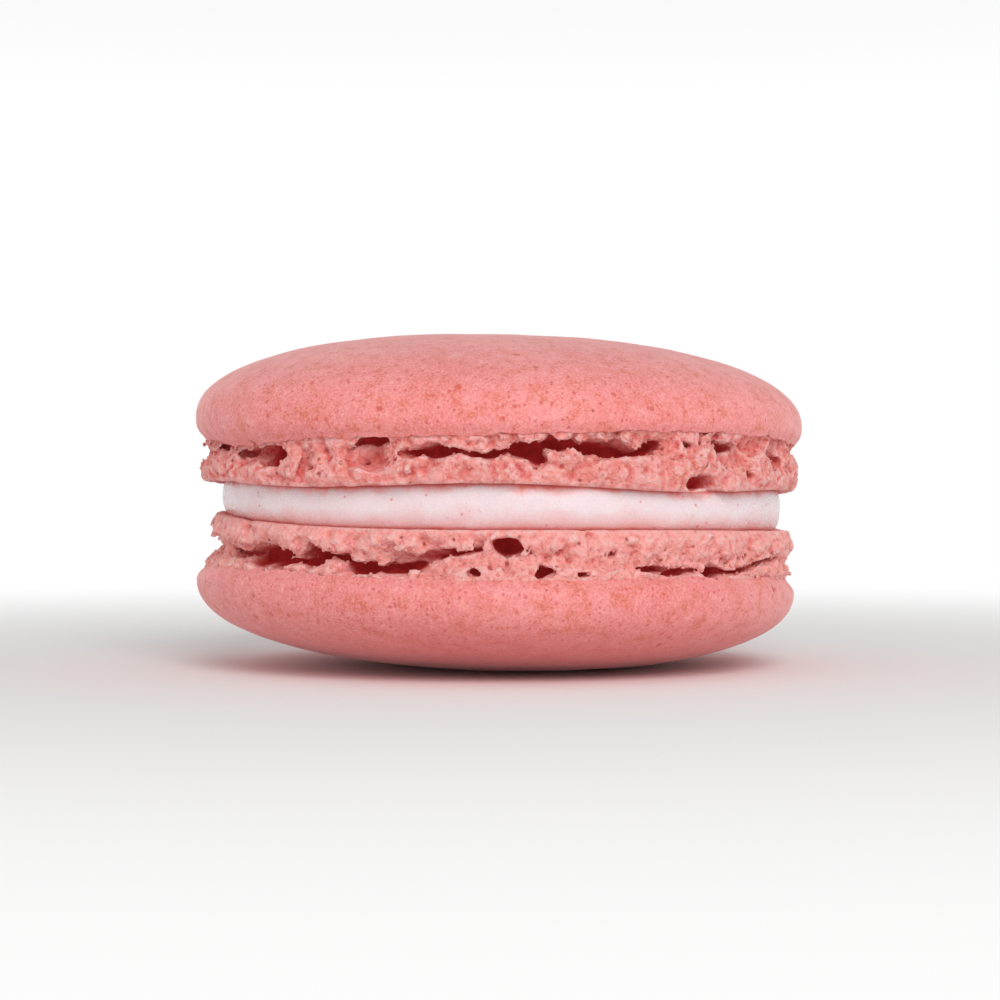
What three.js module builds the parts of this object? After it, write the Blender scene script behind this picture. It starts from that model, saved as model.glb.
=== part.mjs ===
// A French macaron: two domed almond-meringue shells, crown outwards, with whipped cream between them.
// Each shell is one baked piece, a smooth dome over a craggy "foot". The foot tore open as it rose, so a
// broken line of gaps runs round it just under the edge of the skin. Its flat underside faces the cream.
// Millimetres, +Z up. The origin is on the table, under the middle of the biscuit, and the front faces -Y.
import * as THREE from "three";

// ---------- driving dimensions ----------
const CREAM_TOP = 13.3; // height of the upper shell's flat underside, at the middle
const CREAM_BOTTOM = 10.6; // height of the lower shell's flat underside, at the middle
const CREAM_RADIUS = 20.75;
const CREAM_DRAW_IN = { top: 0.3, bottom: 0.75 }; // how far the band draws in where it meets each shell
const CREAM_WAVES = [
  [2, 0.12, 57],
  [5, 0.1, 0],
];
const CONTACT_GAP = 0.25; // left between the cream and each shell
const PRESSED_FLAT = 0.22; // how much of the lower crown the table takes off
const PRESSED_RIM = 0.08; // what lies no higher than this over the table is pressed onto it too

// Waves are lists of [times round, size in mm, phase in degrees]. A shell's own heights are measured from its
// flat underside towards its crown.
const UPPER = {
  name: "shell_upper",
  crownSide: 1,
  underside: CREAM_TOP,
  undersideWaves: [
    [2, 0.12, 50],
    [5, 0.18, 90],
  ],
  tilt: 1.1, // degrees, the right side lower
  domeRadius: 22.5,
  domeShift: -0.22,
  equator: 4.7, // height of the widest part of the dome
  crown: 11.27,
  roundness: 2.2, // exponent of the dome's superellipse
  footRadius: 21.9,
  footShift: -0.15,
  skinEdge: 3.4, // height at which the smooth skin gives way to the craggy foot
  skinEdgeWaves: [
    [1, 0.13, 40],
    [2, 0.4, 27],
    [3, 0.15, -58],
  ],
  skinDroop: { azimuth: -57, size: 0.55, width: 13 }, // where the skin hangs lower over the foot, in degrees
  shoulder: 0.3, // how far the skin curls in at its edge
  // Where the foot draws in under the skin's edge. Lean and climb make this deeper and higher at the right.
  waist: { depth: 0.35, lean: 0.15, height: 2.6, climb: 0.4 },
  seed: 11,
};
const LOWER = {
  name: "shell_lower",
  crownSide: -1,
  underside: CREAM_BOTTOM,
  undersideWaves: [
    [2, 0.2, 115],
    [3, 0.14, -150],
  ],
  tilt: 1.5,
  domeRadius: 22.4,
  domeShift: -0.13,
  equator: 4.6,
  crown: CREAM_BOTTOM + PRESSED_FLAT,
  roundness: 2.22,
  footRadius: 21.35,
  footShift: 0.12,
  skinEdge: 3.65,
  skinEdgeWaves: [
    [1, 0.15, -110],
    [2, 0.2, -115],
    [3, 0.2, 105],
  ],
  skinDroop: { azimuth: 0, size: 0, width: 13 },
  shoulder: 0.5,
  waist: { depth: 0.65, lean: -0.35, height: 2.3, climb: -0.05 },
  seed: 29,
};
const UNDER_EQUATOR = 6; // semi-height of the superellipse that the dome follows below its widest part
const SHOULDER_HEIGHT = 1; // how far above its edge the skin starts to curl in
const DOME_WAVES = [
  [2, 0.14, 25],
  [3, 0.1, 70],
]; // how far out of round a dome is

// The gaps at the front and the sides. Each is a pocket with an oval mouth: azimuth in degrees (0 in front,
// 90 at the right), height of its middle, length round the foot, height of the mouth, depth, and slant in
// degrees (its right end nearer the underside).
const UPPER_GAPS = [
  [-88, 2.3, 3, 0.6, 0.6, 0],
  [-67, 2.4, 2.2, 0.45, 1, 0],
  [-58, 2.05, 2.4, 0.45, 1.3, 3],
  [-52, 2.05, 2.4, 0.8, 0.9, 0],
  [-46.5, 2, 2.6, 1.15, 3, 0],
  [-37, 1.1, 2, 1.5, 0.6, 20],
  [-36, 1, 0.9, 0.7, 1.4, 0],
  [-24, 2.05, 2.8, 1.7, 0.7, 0],
  [-23.5, 3, 2.7, 0.5, 2.2, -4],
  [-15.5, 2.25, 1.8, 0.5, 2.4, 0],
  [-10.5, 2.4, 2.6, 0.65, 2.8, 0],
  [-4.5, 2.25, 2.6, 0.4, 2.4, 12],
  [0.5, 2.45, 2.1, 0.45, 2.4, -18],
  [5, 2.65, 2.5, 1, 2.8, 0],
  [6.5, 2.05, 1.4, 0.8, 2.2, 0],
  [11, 3.05, 2.5, 0.65, 3, 0],
  [17, 2.75, 2.7, 1, 3, 0],
  [20.5, 2.5, 2.6, 1.15, 3, 0],
  [28, 2.7, 2.7, 0.5, 2.4, -12],
  [36, 3.3, 1.1, 0.5, 1.3, 0],
  [39.5, 0.5, 2.9, 0.65, 1.5, 0],
  [46.5, 3, 2.2, 0.75, 2, 0],
  [48, 2.45, 3.3, 1.1, 0.8, 8],
  [55, 1.2, 0.6, 0.4, 0.8, 0],
  [66, 2.3, 2.3, 0.9, 1.2, 0],
  [85, 2.85, 2.6, 0.8, 0.8, 0],
];
const LOWER_GAPS = [
  [-86, 1.85, 5, 1, 1.3, 0],
  [-62, 2.45, 4, 0.6, 2, -3],
  [-53, 2.45, 4.4, 1.1, 2.8, 0],
  [-46.5, 2.6, 2, 1.3, 3, 0],
  [-42, 2.8, 1.7, 0.4, 2.4, 0],
  [-37.5, 2.4, 2.2, 1, 3, 0],
  [-37.5, 1.6, 0.5, 0.9, 1.6, 0],
  [-32.5, 2.4, 2.3, 0.35, 2.2, 0],
  [-26, 2.85, 2.5, 0.9, 3, 0],
  [-20, 2.8, 2.9, 0.45, 2.8, 0],
  [-16, 2.6, 2.2, 0.5, 2.4, 8],
  [-12, 2.1, 2, 0.3, 1.8, 12],
  [-7, 1.7, 2.5, 0.4, 2, 4],
  [-4.5, 1.45, 0.9, 0.7, 0.8, 0],
  [-4.5, 3, 1.4, 0.6, 2.4, 0],
  [1.5, 1.25, 1.8, 1.3, 2.3, 0],
  [4.5, 1.35, 1.2, 0.7, 0.7, 0],
  [8.5, 2.9, 1.35, 0.65, 2.4, 0],
  [15, 2.95, 1.3, 0.4, 1.6, 0],
  [21, 1.65, 0.8, 0.7, 0.8, 0],
  [30, 2.55, 2, 0.3, 1.6, 5],
  [36, 2.75, 3.2, 0.3, 1.6, 2],
  [44.5, 2.75, 1.4, 0.55, 2.4, 0],
  [49, 2.9, 1.8, 0.25, 1.4, 0],
  [54.5, 2.65, 2, 0.55, 2.3, 0],
  [62, 2.2, 3, 0.5, 2, 8],
  [68, 1.8, 3, 0.4, 1.4, 8],
  [86, 2.3, 3, 0.7, 0.8, 0],
];
// Round the back the foot is torn by chance, in tears of one to four gaps that run into each other.
const BACK = { from: 92, to: 268 }; // degrees of azimuth
const TEAR = { gaps: [1, 5], rise: [1.8, 2.9], startRise: [1.9, 2.8], step: [-0.35, 0.35], bridge: [1, 6] };
const BACK_GAP = { length: [1.6, 3.6], height: [0.5, 1.4], depth: [1.8, 3.2], slant: [-14, 14] };

const COLUMNS = { foot: 144, crown: 72, cream: 96 };
const FOOT_RISES = [0.3, 0.7, 1.1, 1.5, 1.85, 2.15, 2.45, 2.75, 3.05]; // heights of the foot's rings
const DOME_TURNS = [0, 9, 18, 27, 36, 45, 54, 63, 71, 78, 84]; // its rings, in degrees up from the equator
const CREAM_LEVELS = [0, 0.06, 0.2, 0.4, 0.6, 0.8, 0.94, 1];
const FOOT_BULGE = 0.9; // height at which the foot reaches furthest out
const FOOT_DRAW_IN = 0.15; // how far the foot draws in at its underside
const GAP_SPREAD = 1.3; // how much more area than its mouth a gap is cut with
const WAIST_SPREAD = 0.65; // half the height over which the foot draws in
const FLARE_FROM = 1.6; // the height from which the foot widens to meet the skin
const FLARE_INSIDE = 0.15; // how far inside the skin it ends
const LUMP_SIZE = 1.9;
const LUMP_RELIEF = 0.36;
const CHANCE = { multiplier: 1664525, increment: 1013904223, range: 2 ** 32 };

const radians = (degrees) => (degrees * Math.PI) / 180;

// ---------- chance, repeatable ----------
function drawsFrom(seed) {
  let state = seed;
  return ([low, high]) => {
    state = (state * CHANCE.multiplier + CHANCE.increment) % CHANCE.range;
    return low + ((high - low) * state) / CHANCE.range;
  };
}

// A number between 0 and 1 that is always the same for the same cell.
function cellValue(column, row, salt) {
  const mixed = Math.sin(column * 127.1 + row * 311.7 + salt * 74.7) * 43758.5453;
  return mixed - Math.floor(mixed);
}

// ---------- relief of a shell ----------
function waves(list, azimuth) {
  const wave = ([times, size, phase]) => size * Math.sin(times * azimuth + radians(phase));
  return list.reduce((sum, terms) => sum + wave(terms), 0);
}

// All the gaps of one foot: those listed for its front, and chance tears round the back.
function gapsOf(shell) {
  const draw = drawsFrom(shell.seed);
  const all = [...(shell === UPPER ? UPPER_GAPS : LOWER_GAPS)];
  let at = BACK.from;
  while (at < BACK.to) {
    const count = Math.floor(draw(TEAR.gaps));
    let rise = draw(TEAR.startRise);
    for (let i = 0; i < count; i++) {
      const length = draw(BACK_GAP.length);
      all.push([at, rise, length, draw(BACK_GAP.height), draw(BACK_GAP.depth), draw(BACK_GAP.slant)]);
      at += (0.8 * length * 180) / (Math.PI * shell.footRadius);
      rise = Math.min(Math.max(rise + draw(TEAR.step), TEAR.rise[0]), TEAR.rise[1]);
    }
    at += draw(TEAR.bridge);
  }
  return all;
}

// How deep the gaps cut at a place on the foot.
function gapDepth(gaps, footRadius, azimuth, rise) {
  let deepest = 0;
  for (const [at, middle, length, height, depth, slant] of gaps) {
    const away = azimuth - radians(at);
    const right = Math.atan2(Math.sin(away), Math.cos(away)) * footRadius;
    const up = rise - middle;
    const turn = radians(slant);
    const along = (right * Math.cos(turn) - up * Math.sin(turn)) / (length / 2);
    const across = (right * Math.sin(turn) + up * Math.cos(turn)) / (height / 2);
    const inside = 1 - (along * along + across * across) / GAP_SPREAD;
    if (inside > 0) deepest = Math.max(deepest, depth * Math.sqrt(inside));
  }
  return deepest;
}

// Rounded lumps of crumb, one in each cell of an uneven grid that wraps round the foot.
function lumps(footRadius, azimuth, rise, salt) {
  const cells = Math.round((2 * Math.PI * footRadius) / LUMP_SIZE);
  const u = ((azimuth / (2 * Math.PI)) * cells + cells) % cells;
  const v = rise / LUMP_SIZE;
  let nearest = 4;
  for (let i = -1; i <= 1; i++) {
    for (let j = -1; j <= 1; j++) {
      const column = Math.floor(u) + i;
      const row = Math.floor(v) + j;
      const wrapped = (column + cells) % cells;
      const du = column + cellValue(wrapped, row, salt) - u;
      const dv = row + cellValue(wrapped, row, salt + 5) - v;
      nearest = Math.min(nearest, du * du + dv * dv);
    }
  }
  return LUMP_RELIEF * (1 - 2 * nearest);
}

function skinEdgeAt(shell, azimuth) {
  const { azimuth: at, size, width } = shell.skinDroop;
  const away = Math.atan2(Math.sin(azimuth - radians(at)), Math.cos(azimuth - radians(at))) / radians(width);
  return shell.skinEdge + waves(shell.skinEdgeWaves, azimuth) - size * Math.exp(-away * away);
}

// The height that a place on the foot has, when the foot is stretched to meet the wavy edge of the skin.
function stretched(shell, azimuth, rise) {
  const share = rise / shell.skinEdge;
  return waves(shell.undersideWaves, azimuth) * (1 - share) + skinEdgeAt(shell, azimuth) * share;
}

function domeRadiusAt(shell, azimuth, height) {
  const semi = height > shell.equator ? shell.crown - shell.equator : UNDER_EQUATOR;
  const share = Math.min(1, Math.abs(height - shell.equator) / semi);
  const round = (1 - share ** shell.roundness) ** (1 / shell.roundness);
  const curl = Math.max(0, 1 - (height - skinEdgeAt(shell, azimuth)) / SHOULDER_HEIGHT);
  return (shell.domeRadius + waves(DOME_WAVES, azimuth + shell.seed)) * round - shell.shoulder * curl * curl;
}

function footRadiusAt(shell, gaps, azimuth, rise) {
  const below = Math.max(0, 1 - rise / FOOT_BULGE);
  const { depth, lean, height, climb } = shell.waist;
  const right = Math.sin(azimuth);
  const waist = Math.exp(-(((rise - height - climb * right) / WAIST_SPREAD) ** 2));
  const shift = (shell.domeShift - shell.footShift) * right;
  const atSkin = domeRadiusAt(shell, azimuth, skinEdgeAt(shell, azimuth)) + shift - FLARE_INSIDE;
  const flared = THREE.MathUtils.smoothstep(rise, FLARE_FROM, shell.skinEdge);
  return (
    shell.footRadius +
    (atSkin - shell.footRadius) * flared -
    FOOT_DRAW_IN * below * below -
    (depth + lean * right) * waist +
    lumps(shell.footRadius, azimuth, rise, shell.seed) -
    gapDepth(gaps, shell.footRadius, azimuth, stretched(shell, azimuth, rise))
  );
}

// ---------- closed surfaces from stacked rings ----------
function ring(count, pointAt) {
  return Array.from({ length: count }, (_, i) => pointAt((i / count) * 2 * Math.PI));
}

function onRing(radius, azimuth, height, shift = 0) {
  return new THREE.Vector3(shift + radius * Math.sin(azimuth), -radius * Math.cos(azimuth), height);
}

// Rings run from the first pole to the last. Each has as many points as the one before it, or half as many.
function closedSurface(firstPole, rings, lastPole, inwards) {
  const points = [firstPole, ...rings.flat(), lastPole];
  const faces = [];
  const starts = [];
  let next = 1;
  for (const one of rings) {
    starts.push(next);
    next += one.length;
  }
  const face = (a, b, c) => (inwards ? faces.push(a, c, b) : faces.push(a, b, c));
  const at = (k, i) => starts[k] + (i % rings[k].length);
  rings[0].forEach((_, i) => face(0, at(0, i + 1), at(0, i)));
  for (let k = 0; k + 1 < rings.length; k++) {
    const halves = rings[k].length / rings[k + 1].length;
    for (let i = 0; i < rings[k + 1].length; i++) {
      if (halves === 1) {
        face(at(k, i), at(k, i + 1), at(k + 1, i + 1));
        face(at(k, i), at(k + 1, i + 1), at(k + 1, i));
      } else {
        face(at(k, 2 * i), at(k, 2 * i + 1), at(k + 1, i));
        face(at(k, 2 * i + 1), at(k, 2 * i + 2), at(k + 1, i + 1));
        face(at(k, 2 * i + 1), at(k + 1, i + 1), at(k + 1, i));
      }
    }
  }
  const last = rings.length - 1;
  rings[last].forEach((_, i) => face(at(last, i), at(last, i + 1), points.length - 1));
  const geometry = new THREE.BufferGeometry().setFromPoints(points);
  geometry.setIndex(faces);
  geometry.computeVertexNormals();
  return geometry;
}

// ---------- the pieces ----------
function shellGeometry(shell) {
  const gaps = gapsOf(shell);
  const side = shell.crownSide;
  const foot = (rise) =>
    ring(COLUMNS.foot, (azimuth) => {
      const radius = footRadiusAt(shell, gaps, azimuth, rise);
      return onRing(radius, azimuth, side * stretched(shell, azimuth, rise), shell.footShift);
    });
  const dome = (count, heightAt) =>
    ring(count, (azimuth) => {
      const height = heightAt(azimuth);
      return onRing(domeRadiusAt(shell, azimuth, height), azimuth, side * height, shell.domeShift);
    });
  const heightAtTurn = (turn) =>
    shell.equator + (shell.crown - shell.equator) * Math.sin(radians(turn)) ** (2 / shell.roundness);
  const rings = [
    foot(0),
    ...FOOT_RISES.map(foot),
    dome(COLUMNS.foot, (azimuth) => skinEdgeAt(shell, azimuth)),
    dome(COLUMNS.crown, (azimuth) => (skinEdgeAt(shell, azimuth) + shell.equator) / 2),
    ...DOME_TURNS.map((turn) => dome(COLUMNS.crown, () => heightAtTurn(turn))),
  ];
  const underside = new THREE.Vector3(shell.footShift, 0, 0);
  const crown = new THREE.Vector3(shell.domeShift, 0, side * shell.crown);
  return closedSurface(underside, rings, crown, side < 0);
}

// Height of a shell's underside at a place on its rim, where the cream meets it.
function rimHeight(shell, azimuth, x) {
  const lean = x * Math.tan(radians(shell.tilt));
  return shell.underside - lean + shell.crownSide * waves(shell.undersideWaves, azimuth);
}

function creamGeometry() {
  const band = (share) =>
    ring(COLUMNS.cream, (azimuth) => {
      const bulge = Math.sqrt(1 - (2 * share - 1) ** 2);
      const drawIn = share > 0.5 ? CREAM_DRAW_IN.top : CREAM_DRAW_IN.bottom;
      const radius = CREAM_RADIUS + waves(CREAM_WAVES, azimuth) - drawIn * (1 - bulge);
      const point = onRing(radius, azimuth, 0);
      const bottom = rimHeight(LOWER, azimuth, point.x) + CONTACT_GAP;
      const top = rimHeight(UPPER, azimuth, point.x) - CONTACT_GAP;
      point.z = bottom + (top - bottom) * share;
      return point;
    });
  const bottom = new THREE.Vector3(0, 0, CREAM_BOTTOM + CONTACT_GAP);
  const top = new THREE.Vector3(0, 0, CREAM_TOP - CONTACT_GAP);
  return closedSurface(bottom, CREAM_LEVELS.map(band), top, false);
}

// The crown that the biscuit stands on is flat where it meets the table.
function pressFlat(mesh) {
  mesh.updateMatrixWorld(true);
  const position = mesh.geometry.getAttribute("position");
  const point = new THREE.Vector3();
  for (let i = 0; i < position.count; i++) {
    mesh.localToWorld(point.fromBufferAttribute(position, i));
    if (point.z < PRESSED_RIM) point.z = 0;
    mesh.worldToLocal(point);
    position.setXYZ(i, point.x, point.y, point.z);
  }
}

const MERINGUE = { color: "#e98f8a", roughness: 0.62, metalness: 0 };
const WHIPPED_CREAM = { color: "#f4dfe0", roughness: 0.4, metalness: 0 };

function makeShell(shell) {
  const mesh = new THREE.Mesh(shellGeometry(shell), new THREE.MeshStandardMaterial(MERINGUE));
  mesh.name = shell.name;
  mesh.rotation.y = radians(shell.tilt);
  mesh.position.z = shell.underside;
  return mesh;
}

const macaron = new THREE.Group();
const lower = makeShell(LOWER);
pressFlat(lower);
const cream = new THREE.Mesh(creamGeometry(), new THREE.MeshStandardMaterial(WHIPPED_CREAM));
cream.name = "filling";
macaron.add(lower, cream, makeShell(UPPER));

export default macaron;
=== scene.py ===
"""A French macaron on a pale table: two almond-meringue shells with craggy feet, and whipped cream between.

Lengths are millimetres until a finished mesh is brought into the frame. A shell is made crown up, with its
flat underside at height 0, and is then turned over or not, tilted and lifted to its place.
"""

import math
from functools import partial

import bpy
import numpy as np
from mathutils import Matrix, Vector


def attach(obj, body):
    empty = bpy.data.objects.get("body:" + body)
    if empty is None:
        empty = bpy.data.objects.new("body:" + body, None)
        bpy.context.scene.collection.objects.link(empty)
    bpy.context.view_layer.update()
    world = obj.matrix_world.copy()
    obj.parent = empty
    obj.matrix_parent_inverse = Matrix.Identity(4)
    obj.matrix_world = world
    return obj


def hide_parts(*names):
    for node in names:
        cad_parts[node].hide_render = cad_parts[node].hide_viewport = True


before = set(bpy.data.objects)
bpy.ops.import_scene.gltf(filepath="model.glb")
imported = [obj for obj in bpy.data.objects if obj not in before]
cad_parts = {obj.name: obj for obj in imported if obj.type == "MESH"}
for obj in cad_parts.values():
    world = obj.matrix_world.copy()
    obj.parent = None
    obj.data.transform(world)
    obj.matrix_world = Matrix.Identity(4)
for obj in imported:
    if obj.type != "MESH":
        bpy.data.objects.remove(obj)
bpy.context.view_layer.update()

MM = 0.001

# ---------- sizes, in mm ----------
# Waves are lists of (times round, size, phase in degrees).
CREAM_TOP = 13.3
CREAM_BOTTOM = 10.6
CREAM_RADIUS = 20.9
CREAM_DRAW_IN = {"top": 0.45, "bottom": 0.95}  # how far its rounded edge draws in
CREAM_WAVES = [(2, 0.12, 57), (5, 0.1, 0)]
CREAM_SINKS_IN = 0.25  # how far the cream is pressed into the crumb of each shell
PRESSED_FLAT = 0.22  # how much of the lower crown is pressed flat where the macaron stands

# Each shell's own sizes. "crown" is the height of its crown, "roundness" the power of its superellipse, and
# "skin_droop" where the skin hangs lower: azimuth, how much, and how wide in degrees. "overhang" is how far
# all of the skin's lip hangs past its edge, "ragged" how uneven that lip is, and "shoulder" how far the dome
# curls in towards it. "gap_growth" multiplies a gap's length, depth and height, as crumb that hangs over its
# mouth closes part of it. "seed" sets all that falls by chance.
UPPER = {
    "name": "shell_upper",
    "crown_side": 1,
    "underside": CREAM_TOP,
    "underside_waves": [(2, 0.12, 50), (5, 0.18, 90)],
    "tilt": 1.1,
    "dome_radius": 22.5,
    "dome_shift": -0.22,
    "equator": 4.7,
    "crown": 11.27,
    "roundness": 2.2,
    "foot_radius": 21.9,
    "foot_shift": -0.15,
    "skin_edge": 3.4,
    "skin_edge_waves": [(1, 0.13, 40), (2, 0.4, 27), (3, 0.15, -58)],
    "skin_droop": (-57, 0.55, 13),
    "gap_growth": (1.13, 1.25, 1.3),
    "overhang": 0.0,
    "ragged": 0.6,
    "shoulder": 0.3,
    "waist": {"Waist depth": 0.35, "Waist lean": 0.15, "Waist height": 2.6, "Waist climb": 0.4},
    "seed": 11,
}
LOWER = {
    "name": "shell_lower",
    "crown_side": -1,
    "underside": CREAM_BOTTOM,
    "underside_waves": [(2, 0.2, 115), (3, 0.14, -150)],
    "tilt": 1.5,
    "dome_radius": 22.4,
    "dome_shift": -0.13,
    "equator": 4.6,
    "crown": CREAM_BOTTOM + PRESSED_FLAT,
    "roundness": 2.22,
    "foot_radius": 21.35,
    "foot_shift": 0.12,
    "skin_edge": 3.65,
    "skin_edge_waves": [(1, 0.15, -110), (2, 0.2, -115), (3, 0.2, 105)],
    "skin_droop": (0, 0.0, 13),
    "gap_growth": (1.13, 1.25, 1.15),
    "overhang": 0.15,
    "ragged": 1.0,
    "shoulder": 0.5,
    "waist": {"Waist depth": 0.65, "Waist lean": -0.35, "Waist height": 2.3, "Waist climb": -0.05},
    "seed": 29,
}
UNDER_EQUATOR = 6.0  # how far under its equator the dome would close
SHOULDER_HEIGHT = 1.0  # how far above the skin's edge the shoulder starts
DEEPEST_CURL = 1.5
DOME_WAVES = [(2, 0.14, 25), (3, 0.1, 70)]

# Gaps that the foot tore open as it rose: azimuth in degrees (0 in front, 90 at the right), height of the
# middle, length, height of the mouth, depth, and slant in degrees (the right end nearer the underside).
UPPER["gaps"] = [
    (-88, 2.3, 3, 0.6, 0.6, 0),
    (-67, 2.4, 2.2, 0.45, 1, 0),
    (-58, 2.05, 2.4, 0.45, 1.3, 3),
    (-52, 2.05, 2.4, 0.8, 0.9, 0),
    (-46.5, 2, 2.6, 1.15, 3, 0),
    (-37, 1.1, 2, 1.5, 0.6, 20),
    (-36, 1, 0.9, 0.7, 1.4, 0),
    (-24, 2.05, 2.8, 1.7, 0.7, 0),
    (-23.5, 3, 2.7, 0.5, 2.2, -4),
    (-15.5, 2.25, 1.8, 0.5, 2.4, 0),
    (-10.5, 2.4, 2.6, 0.65, 2.8, 0),
    (-4.5, 2.25, 2.6, 0.4, 2.4, 12),
    (0.5, 2.45, 2.1, 0.45, 2.4, -18),
    (5, 2.65, 2.5, 1, 2.8, 0),
    (6.5, 2.05, 1.4, 0.65, 2.2, 0),
    (11, 3.05, 2.5, 0.65, 3, 0),
    (17, 2.75, 2.7, 0.85, 3, 0),
    (20.5, 2.5, 2.6, 0.95, 3, 0),
    (28, 2.7, 2.7, 0.5, 2.4, -12),
    (36, 3.3, 1.1, 0.5, 1.3, 0),
    (39.5, 0.5, 2.9, 0.65, 1.5, 0),
    (46.5, 3, 2.2, 0.75, 2, 0),
    (48, 2.45, 3.3, 1.1, 0.8, 8),
    (55, 1.2, 0.6, 0.4, 0.8, 0),
    (66, 2.3, 2.3, 0.9, 1.2, 0),
    (85, 2.85, 2.6, 0.8, 0.8, 0),
]
LOWER["gaps"] = [
    (-86, 1.85, 5, 1, 1.3, 0),
    (-62, 2.45, 4, 0.6, 2, -3),
    (-53, 2.45, 4.4, 1.1, 2.8, 0),
    (-46.5, 2.6, 2, 1.3, 3, 0),
    (-42, 2.8, 1.7, 0.4, 2.4, 0),
    (-37.5, 2.4, 2.2, 1, 3, 0),
    (-37.5, 1.6, 0.5, 0.9, 1.6, 0),
    (-32.5, 2.4, 2.3, 0.35, 2.2, 0),
    (-26, 2.97, 2.5, 0.9, 3, 0),
    (-20, 2.93, 2.9, 0.45, 2.8, 0),
    (-16, 2.6, 2.2, 0.5, 2.4, 8),
    (-12, 2.1, 2, 0.3, 1.8, 12),
    (-7, 1.7, 2.5, 0.4, 2, 4),
    (-4.5, 1.45, 0.9, 0.7, 0.8, 0),
    (-4.5, 3, 1.4, 0.6, 2.4, 0),
    (1.5, 1.25, 1.8, 1.3, 2.3, 0),
    (4.5, 1.35, 1.2, 0.7, 0.7, 0),
    (8.5, 2.9, 1.35, 0.65, 2.4, 0),
    (15, 2.95, 1.3, 0.4, 1.6, 0),
    (21, 1.65, 0.8, 0.7, 0.8, 0),
    (30, 2.55, 2.4, 0.3, 1.6, 5),
    (36, 2.75, 3.2, 0.3, 1.6, 2),
    (44.5, 2.75, 2.4, 0.55, 2.4, 0),
    (49, 2.85, 2.6, 0.35, 1.4, 0),
    (54.5, 2.65, 2.7, 0.55, 2.3, 4),
    (62, 2.2, 3.3, 0.5, 2, 8),
    (68, 1.8, 3, 0.4, 1.4, 8),
    (86, 2.3, 3, 0.7, 0.8, 0),
]
# Round the back, by chance, tears of one to four gaps that run into each other.
BACK = (92, 268)
TEAR_GAPS = (1, 5)
TEAR_START = (1.9, 2.8)
TEAR_RISE = (1.8, 2.9)  # the lowest and highest that a tear wanders
TEAR_STEP = (-0.35, 0.35)
TEAR_BRIDGE = (1, 6)  # in degrees, between two tears
TEAR_OVERLAP = 1.08
TEAR_PACE = 0.8  # the next gap of a tear starts this share of a length further on
BACK_LENGTH = (1.6, 3.6)
BACK_HEIGHT = (0.5, 1.4)
BACK_DEPTH = (1.8, 3.2)
BACK_SLANT = (-14, 14)

CRUMB_VOXEL = 0.155
SKIN_STEP = 0.19
CREAM_STEP = 0.09


DRAW_FACTOR = 1664525
DRAW_STEP = 1013904223
DRAW_STATES = 2**32


def draws_from(seed):
    """Repeatable chance: a function that draws the next number between the ends of a span."""
    state = seed

    def draw(span):
        nonlocal state
        state = (state * DRAW_FACTOR + DRAW_STEP) % DRAW_STATES
        low, high = span
        return low + (high - low) * state / DRAW_STATES

    return draw


def all_gaps(shell):
    """The gaps of one foot: those listed for its front, and chance tears round the back."""
    draw = draws_from(shell["seed"])
    gaps = list(shell["gaps"])
    at, end = BACK
    while at < end:
        count = math.floor(draw(TEAR_GAPS))
        rise = draw(TEAR_START)
        for _ in range(count):
            length = draw(BACK_LENGTH)
            sizes = (TEAR_OVERLAP * length, draw(BACK_HEIGHT), draw(BACK_DEPTH), draw(BACK_SLANT))
            gaps.append((at, rise, *sizes))
            at += math.degrees(TEAR_PACE * length / shell["foot_radius"])
            rise = min(max(rise + draw(TEAR_STEP), TEAR_RISE[0]), TEAR_RISE[1])
        at += draw(TEAR_BRIDGE)
    return gaps


def waves(terms, azimuth):
    return sum(size * np.sin(times * azimuth + math.radians(phase)) for times, size, phase in terms)


def skin_edge_at(shell, azimuth):
    """Height at which the skin gives way to the foot. In one place it may droop lower."""
    at, size, width = shell["skin_droop"]
    away = azimuth - math.radians(at)
    away = np.arctan2(np.sin(away), np.cos(away)) / math.radians(width)
    return shell["skin_edge"] + waves(shell["skin_edge_waves"], azimuth) - size * np.exp(-away * away)


def stretched(shell, azimuth, rise):
    """Height of a place on the foot, once an even foot is stretched to meet the wavy edge of the skin."""
    share = np.minimum(1, rise / shell["skin_edge"])
    low = waves(shell["underside_waves"], azimuth) * (1 - share)
    return low + skin_edge_at(shell, azimuth) * share + np.maximum(0, rise - shell["skin_edge"])


def dome_radius_at(shell, azimuth, height):
    """Distance of the dome's surface from its axis, by height above the flat underside."""
    semi = np.where(height > shell["equator"], shell["crown"] - shell["equator"], UNDER_EQUATOR)
    share = np.minimum(1, np.abs(height - shell["equator"]) / semi)
    power = shell["roundness"]
    widest = shell["dome_radius"] + waves(DOME_WAVES, azimuth + shell["seed"])
    curl = np.clip(1 - (height - skin_edge_at(shell, azimuth)) / SHOULDER_HEIGHT, 0, DEEPEST_CURL)
    return widest * (1 - share**power) ** (1 / power) - shell["shoulder"] * curl**2


# ---------- node helpers ----------
def add(tree, kind, *values, **settings):
    """Adds a node: settings first, then its inputs in order, or by name where a value is a dict.

    A value is a number, a socket, or a node, which stands for its first output in use. None skips an input.
    """
    node = tree.nodes.new(kind)
    for name, setting in settings.items():
        setattr(node, name, setting)
    inputs = [socket for socket in node.inputs if socket.enabled]
    named = {socket.name: socket for socket in reversed(inputs)}
    pairs = []
    for socket, value in zip(inputs, values):
        if isinstance(value, dict):
            pairs += [(named[name], given) for name, given in value.items()]
        elif value is not None:
            pairs.append((socket, value))
    for socket, value in pairs:
        if isinstance(value, bpy.types.Node):
            value = next(output for output in value.outputs if output.enabled)
        if isinstance(value, bpy.types.NodeSocket):
            tree.links.new(value, socket)
        else:
            socket.default_value = value
    return node


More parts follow.
